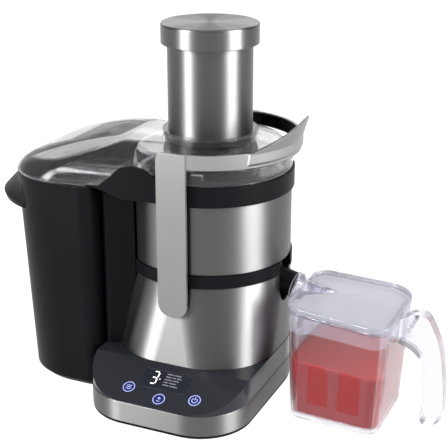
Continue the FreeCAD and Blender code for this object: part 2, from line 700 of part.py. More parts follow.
def make_arm():
    """Half ring over the lid on two legs, with the raised thumb tab at the far right."""
    ring = new_body("arm_ring")
    turn(ring, ring_loop("arm_inner + 0.2", "arm_outer - 0.2", "strap_low + 0.1", "strap_top - 0.1"))
    slab(ring, 260, 290, [box_loop(-120, -120, "2 - leg_half", 120)], cut=True)
    hook = [(84.4, "strap_low + 3.4"), (88, "strap_low"), (96, "strap_low"), (96, 278), (84.4, 278)]
    slab(ring, -12, 12, [hook], plane="XZ")
    flare = new_body("tab_flare")
    turn(flare, [("arm_inner + 0.5", 273), ("arm_outer - 1", 269.6), ("arm_outer + 1.6", 273.5),
                 ("arm_outer + 1.6", 283), (101.8, 292), ("tab_reach", "tab_top"),
                 ("tab_reach - 2.6", "tab_top"), (98.8, 292), ("arm_inner + 0.9", 281)])
    wedge = new_body("tab_wedge")
    slab(wedge, 40, 130, [[(-68, 265), (60, 265), (54, 284.4), (36, 297.5), (18, "tab_top + 1"),
                           (6, "tab_top + 1"), (-12, 302.3), (-30, 296.6), (-45, 291.8),
                           (-66, 283.6)]], plane="YZ")
    ring_and_tab = combine("Fuse", ring, combine("Common", flare, wedge))
    legs = new_body("arm_legs")
    foot = 13
    leg = [("leg_half - 13", "leg_foot", foot), ("leg_half", "leg_foot + 13"),
           ("leg_half", "strap_top"), ("-leg_half + 9", "strap_top", 9),
           ("-leg_half", "strap_top - 9"), ("-leg_half", "leg_foot + 13", foot),
           ("-leg_half + 13", "leg_foot")]
    for low, high in (("-arm_outer", "-arm_inner"), ("arm_inner", "arm_outer")):
        slab(legs, low, high, [leg], plane="XZ")
    slab(legs, -96.9, 96.9, circles=([(0, "pivot_z")], "bearing_bore"), plane="XZ", cut=True)
    keep(combine("Fuse", ring_and_tab, legs), "locking_arm")
    liner = new_body("arm_liner")
    turn(liner, ring_loop("arm_inner - 0.8", "arm_inner - 0.05", 270, 282.6))
    slab(liner, 260, 290, [box_loop(-120, -120, "6 - leg_half", 120), box_loop(60, -14, 110, 14)],
         cut=True)
    keep(liner, "arm_liner")
    bushes = new_body("arm_bushes")
    slab(bushes, -94.3, -93, circles=([(0, "pivot_z")], 6.5), plane="XZ")
    slab(bushes, 90.4, 94.3, circles=([(0, "pivot_z")], 6.5), plane="XZ")
    slab(bushes, -100, 100, circles=([(0, "pivot_z")], "bearing_bore"), plane="XZ", cut=True)
    keep(bushes, "arm_bushes")


# ---- pulp container ---------------------------------------------------------------------

def pulp_plan(grow, inset=0):
    """Container outline; grow widens the three free sides, inset shrinks every side."""
    return soft_box(f"-(pulp_left + {grow} - {inset})", f"-(pulp_right + {inset})",
                    f"(pulp_half + {grow} - {inset})", f"(pulp_corner - {inset})",
                    f"(pulp_inner_corner - {inset * 0.8})")


def lip_plan(reach, half_y, right=165):
    """Crescent of the carrying lip: an arc through (-reach, 0) and the two ends."""
    root = 185
    deep = reach - root
    radius = (deep ** 2 + half_y ** 2) / (2 * deep)
    return [(-right, -half_y), (-right, half_y), (-root, half_y, radius), (-reach, 0, radius),
            (-root, -half_y)]


def make_pulp_container():
    lip = new_body("lip_outer")
    reach = value("lip_reach")
    loft(lip, [(198, lip_plan(reach - 2, 89)), (203, lip_plan(reach, 90)),
               ("pulp_top - 0.4", lip_plan(215, 87))], ruled=True)
    under = new_body("lip_under")
    loft(under, [(197, lip_plan(reach - 4.4, 87)), (202, lip_plan(reach - 2.4, 88)),
                 (233, lip_plan(210.5, 85))], ruled=True)
    lip = combine("Cut", lip, under)
    outer = new_body("pulp_outer")
    loft(outer, [("0", pulp_plan("-(pulp_taper + 4)")), ("5", pulp_plan("-pulp_taper")),
                 ("pulp_top", pulp_plan("0"))], ruled=True)
    inner = new_body("pulp_inner")
    loft(inner, [("3", pulp_plan("-(pulp_taper + 4)", 2.6)), ("8", pulp_plan("-pulp_taper", 2.6)),
                 ("pulp_top + 1", pulp_plan("0", 2.6))], ruled=True)
    keep(combine("Cut", combine("Fuse", outer, lip), inner), "pulp_container")


# ---- jug --------------------------------------------------------------------------------

RIM_BENDS, FOOT_BENDS = (22, 15, 34, 16), (12, 15, 22, 16)


def jug_plan(level, inset):
    """Four-cornered outline of the jug at its rim or foot, wider at the handle's end."""
    left, right = value(f"{level}_left"), value(f"{level}_right")
    corners = [(left, value(f"{level}_front_left")), (right, value(f"{level}_front_right")),
               (right, value(f"{level}_back_right")), (left, value(f"{level}_back_left"))]
    return rounded(corners, RIM_BENDS if level == "rim" else FOOT_BENDS, inset)


def on_inlet(item, back=0):
    """Lay a piece drawn along Z on the inlet's axis, which slopes down into the jug."""
    tilt = Rotation(Vector(0, 1, 0), 90 + value("spout_slope"))
    mouth = Vector(value("inlet_x"), 0, value("inlet_z"))
    item.Placement = Placement(mouth - tilt.multVec(Vector(0, 0, back)), tilt)
    return item


def make_jug():
    outer = new_body("jug_outer")
    wall = value("jug_wall")
    loft(outer, [("0", jug_plan("foot", 3)), ("4", jug_plan("foot", 0)), ("jug_top", jug_plan("rim", 0))],
         ruled=True)
    loft(outer, [("3.4", jug_plan("foot", wall + 3)), ("7", jug_plan("foot", wall)),
                 ("jug_top + 1", jug_plan("rim", wall))], cut=True, ruled=True)
    half, low = 12.5, 118
    slab(outer, 95, 125, [[(half, low), (half, 140), (-half, 140), (-half, low, half),
                           (0, low - half, half)]], plane="YZ", cut=True)
    keep(outer, "jug")


def make_handle():
    body = new_body("jug_handle")
    grip = [(226.4, 117.2), (225.1, 91), (232, 88.5, "-28"), (252.5, 60), (253.6, 36), (252, 12, 8),
            (258, 2.6), (266, 4.4, 12), (276, 18, 260), (273, 71, 110), (256.5, 121, 14),
            (246, 126.3), (238, 125.2), (232.4, 121.4), (229.2, 118.8)]
    slab(body, "handle_y - handle_half", "handle_y + handle_half", [grip], plane="XZ")
    keep(body, "jug_handle")
    rivets = new_body("handle_rivets")
    spots = ([(240.4, 115.6), (236.6, 108)], 2.4)
    slab(rivets, "handle_y - handle_half - 0.8", "handle_y - handle_half", circles=spots, plane="XZ")
    slab(rivets, "handle_y + handle_half", "handle_y + handle_half + 0.8", circles=spots, plane="XZ")
    keep(rivets, "handle_rivets")


def make_jug_lid():
    plate = new_body("jug_lid_plate")
    slab(plate, "jug_top + 0.2", "jug_top + 6", [jug_plan("rim", -0.8)])
    slab(plate, "jug_top + 3", "jug_top + 7", [jug_plan("rim", 1.4)], cut=True)
    slab(plate, "jug_top - 5", "jug_top + 0.2", [jug_plan("rim", 4.6)])
    slab(plate, "jug_top - 6", "jug_top + 0.2", [jug_plan("rim", 6.2)], cut=True)
    hole = on_inlet(rod("inlet_outer + 0.05", "inlet_length + 20", Vector()), 20)
    keep(combine("Cut", plate, hole), "jug_lid")


def make_inlet():
    """Clear sleeve that takes the juice into the jug: a wide mouth at the nozzle, then a tube."""
    tube = new_body("jug_inlet")
    turn(tube, [("inlet_inner", 8.8), ("mouth_radius - 1.6", 5), ("mouth_radius - 1.6", 0),
                ("mouth_radius", 0), ("mouth_radius", 5.6), ("inlet_outer", 9.4),
                ("inlet_outer", "inlet_length"), ("inlet_inner", "inlet_length")])
    keep(on_inlet(tube), "jug_inlet")


def make_separator():
    """Plate across the jug under its lid that holds the froth back, with the inlet through it."""
    body = new_body("separator_plate")
    slab(body, 125, 127.2, [box_loop(-56, 99.4, 38, 117.9)], plane="YZ")
    hole = on_inlet(rod("inlet_outer + 0.05", "inlet_length + 20", Vector()), 10)
    keep(combine("Cut", body, hole), "froth_separator")


# ---- build, check and write -------------------------------------------------------------

for make in (make_bottom_shell, make_feet, make_trim, make_deck, make_panel, make_skirt,
             make_spout_recess, make_side_column, make_motor_deck, make_back_fittings, make_screws,
             make_power_board, make_motor_frame, make_stator, make_rotor, make_basket, make_collector,
             make_rim, make_spout, make_lid, make_pusher, make_arm, make_pulp_container, make_jug,
             make_handle, make_jug_lid, make_inlet, make_separator):
    make()
doc.recompute()

bad = [item.Name for item in doc.Objects if {"Invalid", "Error"} & set(item.State)]
if bad:
    raise SystemExit(f"these objects failed: {bad}")
for item in doc.Objects:
    if item.TypeId in ("PartDesign::Pocket", "PartDesign::Groove", "PartDesign::SubtractiveLoft"):
        if item.Shape.Volume > item.BaseFeature.Shape.Volume - 0.01:
            raise SystemExit(f"{item.Name} of {item.getParentGeoFeatureGroup().Label} cuts nothing")
os.makedirs("parts", exist_ok=True)
for part in PARTS:
    if part.Shape.isNull() or not part.Shape.isValid():
        raise SystemExit(f"{part.Label} has no valid shape")
    part.Shape.exportStep(f"parts/{part.Label}.step")
    print(f"{part.Label:18s} solids {len(part.Shape.Solids)}  volume {part.Shape.Volume / 1000:8.2f} cm3")
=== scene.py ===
import json
import math

import bmesh
import bpy
import numpy as np
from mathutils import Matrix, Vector


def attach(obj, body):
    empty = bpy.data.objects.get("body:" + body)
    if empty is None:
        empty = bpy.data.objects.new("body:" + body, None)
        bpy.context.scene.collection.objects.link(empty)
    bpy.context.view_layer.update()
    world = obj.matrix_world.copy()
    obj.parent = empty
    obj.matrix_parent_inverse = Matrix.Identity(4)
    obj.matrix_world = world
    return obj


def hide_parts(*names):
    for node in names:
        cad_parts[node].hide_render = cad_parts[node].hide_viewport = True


# Centrifugal juicer. Metres, +Z up, rotor axis on X = Y = 0, jug at +X, control panel at -Y.
# Shapes are written in millimetres and laid into the meshes in metres.
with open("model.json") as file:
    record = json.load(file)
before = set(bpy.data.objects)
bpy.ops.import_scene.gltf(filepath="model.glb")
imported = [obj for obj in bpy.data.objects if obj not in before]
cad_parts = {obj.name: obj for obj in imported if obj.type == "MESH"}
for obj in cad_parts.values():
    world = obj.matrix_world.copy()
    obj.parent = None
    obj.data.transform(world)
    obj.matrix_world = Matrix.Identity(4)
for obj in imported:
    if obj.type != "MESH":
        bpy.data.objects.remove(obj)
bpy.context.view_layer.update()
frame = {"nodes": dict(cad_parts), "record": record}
NODES = frame["nodes"]
MM = 0.001
SHARP_ANGLE = math.radians(38)  # edges that turn by more than this are shaded as edges
MERGE_DISTANCE = 1e-7
ROUND_STEPS = 96
HAIRLINES = 3400  # brushing marks to a metre
BEVEL_SAMPLES = 4
ACRYLIC_IOR = 1.49


# ---- shader words -----------------------------------------------------------------------

class Number:
    """A number socket that adds Math nodes when it is used in an expression."""

    def __init__(self, paint, socket):
        self.paint, self.socket = paint, socket

    def join(self, operation, *others):
        made = self.paint.node("ShaderNodeMath", {"operation": operation}, dict(enumerate(others)))
        return Number(self.paint, made.outputs[0])

    def __add__(self, other): return self.join("ADD", self, other)
    def __sub__(self, other): return self.join("SUBTRACT", self, other)
    def __rsub__(self, other): return self.join("SUBTRACT", other, self)
    def __mul__(self, other): return self.join("MULTIPLY", self, other)
    def __pow__(self, other): return self.join("POWER", self, other)
    def __gt__(self, other): return self.join("GREATER_THAN", self, other)
    def root(self): return self.join("SQRT", self)

    def between(self, low, high):
        return self.join("MINIMUM", self.join("MAXIMUM", self, low), high)


class Paint:
    """One material: a Principled shader and the nodes that feed it."""

    def __init__(self, name, colour, roughness, metallic=0.0, **constants):
        self.material = bpy.data.materials.new(name)
        self.material.use_nodes = True
        self.tree = self.material.node_tree
        self.shader = self.tree.nodes["Principled BSDF"]
        self.set("Base Color", (*colour, 1))
        self.set("Roughness", roughness)
        self.set("Metallic", metallic)
        for key, amount in constants.items():
            self.set(key.replace("_", " ").title().replace("Ior", "IOR"), amount)
        self.place = self.node("ShaderNodeTexCoord").outputs["Object"]
        parts = self.node("ShaderNodeSeparateXYZ", {}, {0: self.place})
        self.x, self.y, self.z = (Number(self, parts.outputs[axis]) for axis in range(3))

    def node(self, kind, settings=None, inputs=None):
        """Any node: its settings first, then the values or links of its sockets."""
        made = self.tree.nodes.new(kind)
        for key, amount in (settings or {}).items():
            setattr(made, key, amount)
        for key, item in (inputs or {}).items():
            self.feed(made.inputs[key], item)
        return made

    def feed(self, socket, item):
        if isinstance(item, Number):
            item = item.socket
        if isinstance(item, bpy.types.NodeSocket):
            self.tree.links.new(item, socket)
        else:
            socket.default_value = item

    def set(self, name, item):
        self.feed(self.shader.inputs[name], item)

    def point(self, x, y, z):
        return self.node("ShaderNodeCombineXYZ", {}, {0: x, 1: y, 2: z}).outputs[0]

    def noise(self, scale, detail=3.0, where=None):
        made = self.node("ShaderNodeTexNoise", {}, {"Vector": where or self.place, "Scale": scale,
                                                    "Detail": detail})
        return Number(self, made.outputs["Fac"])

    def cells(self, scale):
        made = self.node("ShaderNodeTexVoronoi", {}, {"Vector": self.place, "Scale": scale})
        return Number(self, made.outputs["Distance"])

    def mix(self, amount, low, high):
        """A colour between two, each a plain colour (a tuple) or a link."""
        factor, first, second, result = 0, 6, 7, 2  # the node's sockets in its colour form
        made = self.node("ShaderNodeMix", {"data_type": "RGBA"})
        self.feed(made.inputs[factor], amount)
        self.feed(made.inputs[first], (*low, 1) if isinstance(low, tuple) else low)
        self.feed(made.inputs[second], (*high, 1) if isinstance(high, tuple) else high)
        return made.outputs[result]

    def relief(self, height, strength, distance, edge=0.0006):
        """Bump on top of a normal that rolls over the piece's edges, as on a broken edge."""
        bevel = self.node("ShaderNodeBevel", {"samples": BEVEL_SAMPLES}, {"Radius": edge})
        made = self.node("ShaderNodeBump", {}, {"Height": height, "Strength": strength,
                                                "Distance": distance,
                                                "Normal": bevel.outputs[0]})
        self.set("Normal", made.outputs[0])

    def rubbed(self):
        """1 on edges rubbed in use, 0 on flats: the bevelled normal against the plain one."""
        worn_edge, contrast = 0.0012, 6
        bevel = self.node("ShaderNodeBevel", {"samples": BEVEL_SAMPLES}, {"Radius": worn_edge})
        plain = self.node("ShaderNodeNewGeometry")
        dot = self.node("ShaderNodeVectorMath", {"operation": "DOT_PRODUCT"},
                        {0: bevel.outputs[0], 1: plain.outputs["Normal"]})
        return ((1 - Number(self, dot.outputs["Value"])) * contrast).between(0.0, 1.0)


def tinted(colour, factor):
    return tuple(min(1.0, part * factor) for part in colour)


def brushed(name, colour, roughness, direction, across=0.85):
    """Steel with fine hairlines round the vertical axis ('round'), round a disc's middle ('disc')
    or along Z ('upright'). The gloss spreads across the hairlines."""
    quarter_turn = 0.25
    turn = 0.0 if direction == "upright" else quarter_turn
    paint = Paint(name, colour, roughness, 1.0, anisotropic=across, anisotropic_rotation=turn)
    if direction == "disc":
        radius = (paint.x ** 2 + paint.y ** 2).root()
        where = paint.point(radius * HAIRLINES, paint.x * 4, paint.y * 4)
    else:
        grain = {"round": (7, 7, HAIRLINES), "upright": (2600, 2600, 9)}[direction]
        where = paint.point(paint.x * grain[0], paint.y * grain[1], paint.z * grain[2])
    hair = paint.noise(1.0, 2.0, where)
    cloud = paint.noise(11.0, 2.0)
    paint.set("Base Color", paint.mix(hair * 0.6 + cloud * 0.4, tinted(colour, 0.93),
                                      tinted(colour, 1.06)))
    paint.set("Roughness", hair * 0.06 + cloud * 0.06 + (roughness - 0.06))
    paint.relief(hair, 0.05, 0.00002)
    return paint.material


def moulded(name, colour, roughness, grain=900.0, depth=0.10, wear=1.7, gloss=0.12):
    """Injection-moulded plastic: fine spark-eroded grain, slight cloudiness and rubbed edges."""
    paint = Paint(name, colour, roughness, 0.0, specular_ior_level=gloss)
    pits = paint.cells(grain)
    cloud = paint.noise(9.0, 3.0)
    paint.set("Base Color", paint.mix(cloud * 0.5 + paint.rubbed() * 0.5, tinted(colour, 0.85),
                                      tinted(colour, wear)))
    paint.set("Roughness", cloud * 0.12 + pits * 0.08 + (roughness - 0.1))
    paint.relief(pits, depth, 0.00012)
    return paint.material


def clear(name, colour, thin, cover, gloss=0.5):
    """Clear moulded plastic: a trace of haze in the wall, flow lines and fine handling scratches.
    Light passes straight through the rest of the wall, less so where the wall is seen edge on."""
    paint = Paint(name, colour, 0.03, 0.0, transmission_weight=thin, ior=ACRYLIC_IOR,
                  specular_ior_level=gloss)
    flow = paint.noise(22.0, 2.0)
    scratch = paint.noise(1.0, 1.0, paint.point(paint.x * 900, paint.y * 40, paint.z * 60))
    weight = paint.node("ShaderNodeLayerWeight", {}, {"Blend": 0.35})
    edge_on = Number(paint, weight.outputs["Facing"])
    # Painted shade: the colour is darkened where the wall is seen edge on, standing in for the dark
    # outlines at the clear walls' edges.
    paint.set("Base Color", paint.mix(edge_on ** 2.0 * 0.8 + flow * 0.06, colour,
                                      tinted(colour, 0.42)))
    paint.set("Roughness", (scratch > 0.70) * 0.05 + flow * 0.03 + 0.015)
    paint.set("Alpha", edge_on * (1 - cover) + flow * 0.05 + (cover - 0.03))
    paint.relief(flow, 0.06, 0.0008, 0.0008)
    return paint.material


def cast(name, colour, roughness, metallic=1.0):
    """As-cast or wound metal: a lumpy skin with darker hollows."""
    paint = Paint(name, colour, roughness, metallic)
    lumps = paint.noise(260.0, 3.0)
    paint.set("Base Color", paint.mix(lumps, tinted(colour, 0.8), tinted(colour, 1.15)))
    paint.set("Roughness", lumps * 0.2 + (roughness - 0.1))
    paint.relief(lumps, 0.2, 0.0002)
    return paint.material


def fruit_juice(name, colour):
    """Fresh juice: fine pulp in the body of the liquid, lighter and foamier towards its surface."""
    paint = Paint(name, colour, 0.35, 0.0, specular_ior_level=0.2)
    pulp = paint.noise(420.0, 4.0)
    swirl = paint.noise(30.0, 3.0)
    froth = ((paint.z - JUICE_TOP * MM + 0.004) * 260).between(0.0, 1.0)
    body = paint.mix(pulp * 0.6 + swirl * 0.4, tinted(colour, 0.9), tinted(colour, 1.1))
    paint.set("Base Color", paint.mix(froth * 0.5, body, (0.50, 0.05, 0.03)))
    paint.set("Roughness", pulp * 0.15 + 0.30)
    paint.relief(pulp, 0.03, 0.0002)
    return paint.material


def lit(name, colour, strength):
    """Printed field lit from behind, a little uneven as the light guide is."""
    paint = Paint(name, tinted(colour, 0.5), 0.3, 0.0, emission_strength=strength)
    spread = paint.noise(320.0, 2.0)
    paint.set("Emission Color", paint.mix(spread, tinted(colour, 0.72), tinted(colour, 1.1)))
    paint.set("Roughness", spread * 0.1 + 0.25)
    return paint.material


JUICE_TOP = 66  # height of the juice standing in the jug, in millimetres
STEEL = (0.150, 0.149, 0.148)
finishes = {
    "brushed_steel": brushed("brushed_steel", STEEL, 0.43, "round"),
    "cap_steel": brushed("brushed_steel_cap", STEEL, 0.40, "disc"),
    "satin_steel": brushed("satin_nickel", (0.27, 0.269, 0.266), 0.38, "upright", 0.7),
    "black_plastic": moulded("black_moulding", (0.0032, 0.0033, 0.0043), 0.38, gloss=0.05),
    "gloss_black": moulded("gloss_black_moulding", (0.012, 0.013, 0.016), 0.14, 400.0, 0.02, 1.3,
                           0.25),
    "clear_lid": clear("clear_lid_plastic", (0.93, 0.945, 0.985), 0.99, 0.42),
    "clear_cover": clear("clear_cover_plastic", (0.35, 0.36, 0.42), 0.55, 0.72, 0.3),
    "clear_jug": clear("clear_jug_plastic", (0.70, 0.69, 0.82), 0.985, 0.46, 0.3),
    "display_glass": moulded("smoked_window", (0.010, 0.011, 0.016), 0.14, 400.0, 0.01, 1.2, 0.25),
    "key_print": moulded("key_field", (0.010, 0.013, 0.060), 0.16, 400.0, 0.02, 1.2, 0.25),
    "rubber": moulded("black_rubber", (0.015, 0.015, 0.015), 0.75, 500.0, 0.3),
    "circuit_board": moulded("board_lacquer", (0.02, 0.13, 0.05), 0.35, 300.0, 0.15),
    "motor_iron": cast("motor_laminations", (0.2, 0.2, 0.21), 0.55),
    "copper": cast("enamelled_copper", (0.72, 0.34, 0.17), 0.35),
    "bearing_metal": cast("sintered_bronze", (0.6, 0.48, 0.28), 0.5),
    "die_cast": cast("die_cast_metal", (0.62, 0.63, 0.65), 0.45),
    "plated_steel": cast("zinc_plate", (0.6, 0.61, 0.62), 0.3),
    "carbon": cast("pressed_carbon", (0.05, 0.05, 0.05), 0.7, 0.0),
    "white_plastic": moulded("white_moulding", (0.78, 0.78, 0.76), 0.4, wear=1.1, gloss=0.5),
    "juice": fruit_juice("red_juice", (0.25, 0.006, 0.004)),
    "digit_light": lit("digit_light", (0.93, 0.93, 0.86), 1.0),
    "key_light": lit("key_light", (0.30, 0.33, 0.62), 0.9),
    "scale_print": lit("scale_print", (0.16, 0.165, 0.18), 0.6),
}
for entry in frame["record"]["subparts"]:
    NODES[entry["node"]].data.materials.clear()
    NODES[entry["node"]].data.materials.append(finishes[entry["material_slot"]])


# ---- surfaces ---------------------------------------------------------------------------

def grid_faces(rows, loop, capped, first):
    """Faces of a grid whose rows close on themselves. The last row joins the first when loop is
    set; when capped, the first and last rows are filled. All turned so that they face outwards."""
    high, wide = rows.shape[:2]
    down = np.arange(high if loop else high - 1)[:, None]
    across = np.arange(wide)[None, :]
    below, beside = (down + 1) % high * wide, (across + 1) % wide
    row = down * wide
    faces = np.stack([row + across, row + beside, below + beside, below + across], -1)
    faces = faces.reshape(-1, 4)
    points = rows.reshape(-1, 3)
    middle = points.mean(0)
    a, b, c, d = (points[faces[:, corner]] - middle for corner in range(4))
    volume = (a * np.cross(b, c)).sum() + (a * np.cross(c, d)).sum()
    faces = (faces + first).tolist()
    if capped:
        last = first + (high - 1) * wide
        faces += [list(range(first, first + wide))[::-1], list(range(last, last + wide))]
        for row, sign in ((rows[0], -1), (rows[-1], 1)):
            around = row - middle
            following = np.roll(around, -1, 0)
            volume += sign * (around[0] * np.cross(around, following)).sum()
    return [face[::-1] for face in faces] if volume < 0 else faces


def make_piece(name, grids, body, finish, stands_for=()):
    """One mesh from grids of millimetre points, given as (rows, kind), kind being 'loop' where the
    last row meets the first, 'capped' where both end rows are filled, or 'poles'."""
    points, faces = [], []
    for rows, kind in grids:
        rows = np.asarray(rows, float) * MM
        faces += grid_faces(rows, kind == "loop", kind == "capped", sum(map(len, points)))
        points.append(rows.reshape(-1, 3))
    mesh = bpy.data.meshes.new(name)
    mesh.from_pydata(np.concatenate(points).tolist(), [], faces)
    work = bmesh.new()
    work.from_mesh(mesh)
    bmesh.ops.remove_doubles(work, verts=work.verts, dist=MERGE_DISTANCE)
    work.to_mesh(mesh)
    work.free()
    mesh.shade_smooth()
    mesh.set_sharp_from_angle(angle=SHARP_ANGLE)
    mesh.materials.append(finishes[finish])
    piece = bpy.data.objects.new(name, mesh)
    bpy.context.collection.objects.link(piece)
    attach(piece, body)
    if stands_for:
        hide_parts(*stands_for)
    return piece


def arc_between(start, stop, centre, steps):
    """Points on an arc from start to stop about a centre: sine-weighted means of both spokes."""
    one, two = start - centre, stop - centre
    cosine = one @ two / math.sqrt((one @ one) * (two @ two))
    angle = math.acos(max(-1.0, min(1.0, cosine)))
    share = np.linspace(0, 1, steps)[:, None]
    spokes = np.sin((1 - share) * angle) * one + np.sin(share * angle) * two
    return centre + spokes / math.sin(angle)


def softened(corners, closed=True):
    """Outline through corners (x, y, bend), every corner with a bend turned into an arc between its
    tangent points, and long straights held by a point near each end so that they shade flat."""
    steps, margin = 6, 0.5
    spans = []
    for index, (x, y, bend) in enumerate(corners):
        here = np.array((x, y), float)
        if bend == 0:
            spans.append(here[None])
            continue
        before = np.array(corners[index - 1][:2]) - here
        after = np.array(corners[(index + 1) % len(corners)][:2]) - here
        before, after = before / np.linalg.norm(before), after / np.linalg.norm(after)
        half = math.acos(max(-1.0, min(1.0, before @ after))) / 2
        reach = bend / math.tan(half)
        middle = here + (before + after) / np.linalg.norm(before + after) * bend / math.sin(half)
        spans.append(arc_between(here + before * reach, here + after * reach, middle, steps))
    held = []
    for index, span in enumerate(spans):
        held.append(span)
        if index == len(spans) - 1 and not closed:
            break
        start, stop = span[-1], spans[(index + 1) % len(spans)][0]
        length = np.linalg.norm(stop - start)
        if length > 4 * margin:
            step = (stop - start) / length * margin
            held.append(np.array([start + step, stop - step]))
    return np.concatenate(held)


def turned(profile, closed=True):
    """Lathe surface: a profile of (radius, height) carried round the Z axis."""
    turns = 180
    path = softened(profile, closed)
    angle = np.linspace(0, 2 * math.pi, turns, endpoint=False)
    radius, height = path[:, :1], path[:, 1:]
    return np.stack([radius * np.cos(angle), radius * np.sin(angle), height + 0 * angle], -1)


def swept(outline, profile, closed=True):
    """Wall surface: the outline for the inset and height of every profile point."""
    rows = []
    for inset, height in softened(profile, closed):
        plan = outline(inset, height)
        rows.append(np.column_stack([plan, np.full(len(plan), height)]))
    return np.array(rows)


def rounded_plan(corners, bends, inset):
    """Four-cornered plan moved inwards by inset: each corner an arc between its tangent points,
    each side held by a point near both ends."""
    steps = 14
    spots = np.array(corners, float)
    plan = []
    for index, here in enumerate(spots):
        before, after = spots[index - 1] - here, spots[(index + 1) % len(spots)] - here
        before, after = before / np.linalg.norm(before), after / np.linalg.norm(after)
        half = math.acos(before @ after) / 2
        toward = (before + after) / np.linalg.norm(before + after)
        tip, bend = here + toward * inset / math.sin(half), bends[index] - inset
        reach = bend / math.tan(half)
        plan.append(arc_between(tip + before * reach, tip + after * reach,
                                tip + toward * bend / math.sin(half), steps))
    sides = []
    for index, arc in enumerate(plan):
        start, stop = arc[-1], plan[(index + 1) % len(plan)][0]
        sides += [arc, start + (stop - start) * np.array([[0.03], [0.5], [0.97]])]
    return np.concatenate(sides)


def carve(piece, rows):
    """Cut a shape with both ends filled, given as a grid of millimetre points, out of a piece."""
    rows = np.asarray(rows, float) * MM
    mesh = bpy.data.meshes.new("cutter")
    mesh.from_pydata(rows.reshape(-1, 3).tolist(), [], grid_faces(rows, False, True, 0))
    cutter = bpy.data.objects.new("cutter", mesh)
    bpy.context.collection.objects.link(cutter)
    cut = piece.modifiers.new("cut", "BOOLEAN")
    cut.operation, cut.object, cut.solver = "DIFFERENCE", cutter, "EXACT"
    bpy.context.view_layer.update()
    cut_piece = piece.evaluated_get(bpy.context.evaluated_depsgraph_get())
    finished = bpy.data.meshes.new_from_object(cut_piece)
    piece.modifiers.remove(cut)
    piece.data = finished
    finished.set_sharp_from_angle(angle=SHARP_ANGLE)
    bpy.data.objects.remove(cutter)


# ---- steel pieces -----------------------------------------------------------------------

def make_steel():
    """Cap, chute sleeve and base trim of sheet with rolled edges, and the clear feed chute."""
    cap = [(0, 400, 0), (51.7, 400, 2.4), (51.7, 378.8, 0.5), (50.5, 378.8, 0.4),
           (50.5, 398.6, 1.2), (0, 398.6, 0)]
    make_piece("pusher_cap_steel", [(turned(cap, False), "poles")], "pusher",
               "cap_steel", ["pusher_cap"])
    sleeve = [(44, 283, 0.3), (45.2, 283, 0.5), (45.2, 378.5, 0.5), (44, 378.5, 0.3)]
    make_piece("chute_sleeve_steel", [(turned(sleeve), "loop")], "lid",
               "brushed_steel", ["chute_sleeve"])
    chute = [(41.2, 193, 0.8), (43.8, 193, 0.8), (43.8, 275.1, 1), (48.5, 275.1, 1.6),
             (51.7, 287.5, 0.7), (50, 287.5, 0.7), (46.6, 277.5, 1.2), (43.8, 277.5, 0.9),
             (43.8, 378, 0.8), (41.2, 378, 0.8)]
    make_piece("feed_chute_clear", [(turned(chute), "loop")], "lid", "clear_lid",
               ["feed_chute"])
    trim = [(0, 4.2, 0.4), (0, 27, 0.5), (1.2, 27, 0.4), (1.2, 4.2, 0.4)]
    make_piece("base_trim_steel", [(swept(base_plan, trim), "loop")], "housing",
               "brushed_steel", ["base_trim"])


BASE_HALF_WIDTH, BASE_FRONT, BASE_BEND = 90.5, 156, 57


def base_plan(inset, height):
    """Plan of the base: a half circle behind, straight sides and a front with rounded corners."""
    half, front, bend = BASE_HALF_WIDTH - inset, BASE_FRONT - inset, BASE_BEND - inset
    back = np.linspace(0, math.pi, 72)
    corner = np.linspace(0, math.pi / 2, 28)
    arcs = [np.column_stack([half * np.cos(back), half * np.sin(back)])]
    for centre_x, start in ((-(half - bend), math.pi), (half - bend, 1.5 * math.pi)):
        arcs.append(np.column_stack([centre_x + bend * np.cos(start + corner),
                                     -(front - bend) + bend * np.sin(start + corner)]))
    spaced = []
    for index, arc in enumerate(arcs):
        start, stop = arc[-1], arcs[(index + 1) % len(arcs)][0]
        spaced += [arc, start + (stop - start) * np.array([[0.03], [0.97]])]
    return np.concatenate(spaced)


# ---- jug --------------------------------------------------------------------------------

RIM = {"corners": [(110, -60), (226, -81), (226, 40), (110, 50)], "bends": (22, 15, 34, 16)}
FOOT = {"corners": [(120.5, -70), (219.5, -76.5), (219.5, 28), (120.5, 30)],
        "bends": (12, 15, 22, 16)}
JUG_TOP, JUG_WALL, JUG_FLOOR = 118, 2.4, 3.4
FOOT_TOP = 4
NOTCH_RADIUS, NOTCH_STEPS = 12.5, 64
INLET_AT, INLET_TILT = (99.4, 0, 121.8), math.radians(15)
INLET_HOLE, INLET_START, INLET_END = 11.25, -20, 54  # radius, and run along the inlet's axis


def jug_plan(inset, height):
    """The jug's outline at a height: foot and rim corners mixed in proportion to the height."""
    share = max(0.0, min(1.0, (height - FOOT_TOP) / (JUG_TOP - FOOT_TOP)))
    corners = [(1 - share) * np.array(low) + share * np.array(high)
               for low, high in zip(FOOT["corners"], RIM["corners"])]
    bends = [(1 - share) * low + share * high for low, high in zip(FOOT["bends"], RIM["bends"])]
    return rounded_plan(corners, bends, inset)


def rim_plan(inset, height):
    return rounded_plan(RIM["corners"], RIM["bends"], inset)


def inlet_cutter():
    """Round bar along the inlet's axis, which slopes down into the jug."""
    angle = np.linspace(0, 2 * math.pi, ROUND_STEPS, endpoint=False)
    along = np.array([INLET_START, INLET_END], float)[:, None]
    across, up = INLET_HOLE * np.cos(angle), INLET_HOLE * np.sin(angle)
    lean, rise = math.cos(INLET_TILT), math.sin(INLET_TILT)
    return np.stack([INLET_AT[0] + along * lean + up * rise, INLET_AT[1] + across + 0 * along,
                     INLET_AT[2] - along * rise + up * lean], -1)


